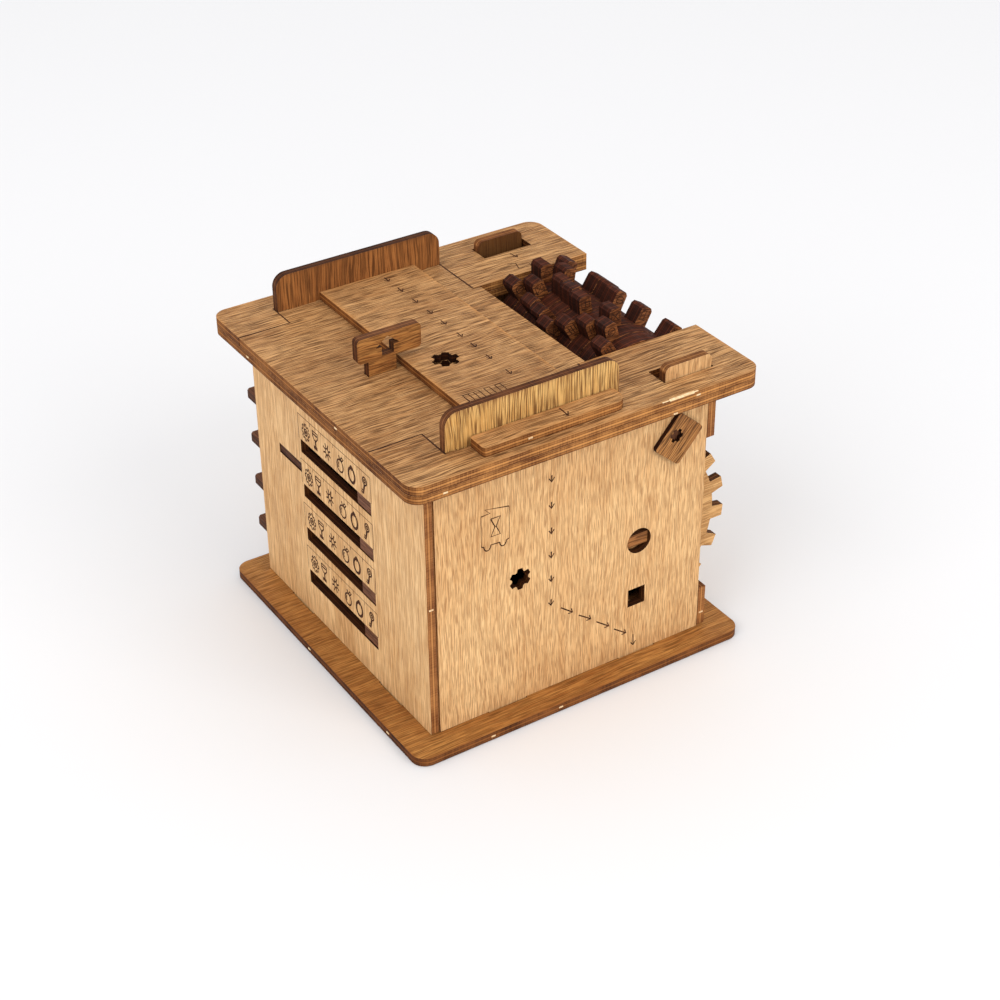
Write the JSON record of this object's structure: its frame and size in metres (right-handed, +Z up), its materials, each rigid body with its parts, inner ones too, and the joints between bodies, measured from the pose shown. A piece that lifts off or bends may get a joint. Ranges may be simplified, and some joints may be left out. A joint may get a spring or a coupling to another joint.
{
  "type": "wooden puzzle box",
  "caption": "Laser-cut plywood puzzle box with a lifting hatch and key, a pegged drum, a front gear, a turn button and pull sliders behind slotted clue rows.",
  "frame": {"origin": "centre of the base plate's underside", "axes": "+Z up, the front panel faces -Y, the drum and gear stand out towards +X, the slotted clue rows face -X"},
  "size_m": [0.1315, 0.1276, 0.1165],
  "materials": {
    "light_ply": "satin",
    "wall_ply": "satin",
    "drum_ply": "satin",
    "rail_ply": "satin",
    "deck_ply": "satin",
    "slider_ply": "satin",
    "inner_ply": "satin"
  },
  "bodies": {
    "case": {"base_plate": "deck_ply", "front_panel": "light_ply", "left_panel": "wall_ply", "back_panel": "wall_ply", "right_panel": "wall_ply", "deck_lower_layer": "deck_ply", "deck_near_strip": "deck_ply", "deck_far_strip": "deck_ply", "near_guide_strip": "deck_ply", "far_guide_strip": "deck_ply", "centre_divider": "inner_ply", "compartment_wall": "inner_ply", "inner_shelf": "slider_ply", "drum_bearing_near": "inner_ply", "drum_bearing_far": "inner_ply", "gear_bearing": "inner_ply", "slider_comb_mid": "inner_ply", "slider_comb_back": "inner_ply"},
    "hatch": {"hatch_plate": "deck_ply", "raised_plate": "deck_ply", "near_rail": "rail_ply", "far_rail": "rail_ply"},
    "key": {"t_key": "deck_ply"},
    "drum": {"drum_axle": "slider_ply", "drum_ring_1": "drum_ply", "drum_ring_2": "drum_ply", "drum_ring_3": "drum_ply", "drum_ring_4": "drum_ply", "drum_ring_5": "drum_ply", "drum_ring_6": "drum_ply", "drum_ring_7": "drum_ply", "drum_ring_8": "drum_ply", "drum_ring_9": "drum_ply", "drum_end_near": "drum_ply", "drum_end_far": "drum_ply"},
    "gear": {"gear_wheel": "light_ply", "gear_axle": "slider_ply"},
    "lock_button": {"button_plate": "wall_ply", "button_pin": "light_ply"},
    "slider_1": {"row_slider_1": "slider_ply", "row_pointer_1": "slider_ply"},
    "slider_2": {"row_slider_2": "slider_ply", "row_pointer_2": "slider_ply"},
    "slider_3": {"row_slider_3": "slider_ply", "row_pointer_3": "slider_ply"},
    "slider_4": {"row_slider_4": "slider_ply", "row_pointer_4": "slider_ply"}
  },
  "joints": [
    {"name": "hatch_lift", "type": "slide", "parent": "case", "child": "hatch", "axis": [0, 0, 1], "range_m": [0, 0.012]},
    {"name": "key_pull", "type": "slide", "parent": "hatch", "child": "key", "axis": [0, 0, 1], "range_m": [0, 0.006]},
    {"name": "drum_spin", "type": "hinge", "parent": "case", "child": "drum", "pos_m": [0.0423, 0, 0.0825], "axis": [0, 1, 0], "continuous": true},
    {"name": "gear_spin", "type": "hinge", "parent": "case", "child": "gear", "pos_m": [0.0256, -0.0495, 0.0473], "axis": [0, 1, 0], "continuous": true},
    {"name": "button_turn", "type": "hinge", "parent": "case", "child": "lock_button", "pos_m": [0.0376, -0.053, 0.0832], "axis": [0, 1, 0], "range_deg": [-41, 49]},
    {"name": "slider_1_pull", "type": "slide", "parent": "case", "child": "slider_1", "axis": [0, 1, 0], "range_m": [0, 0.036]},
    {"name": "slider_2_pull", "type": "slide", "parent": "case", "child": "slider_2", "axis": [0, 1, 0], "range_m": [0, 0.036]},
    {"name": "slider_3_pull", "type": "slide", "parent": "case", "child": "slider_3", "axis": [0, 1, 0], "range_m": [0, 0.036]},
    {"name": "slider_4_pull", "type": "slide", "parent": "case", "child": "slider_4", "axis": [0, 1, 0], "range_m": [0, 0.036]}
  ]
}
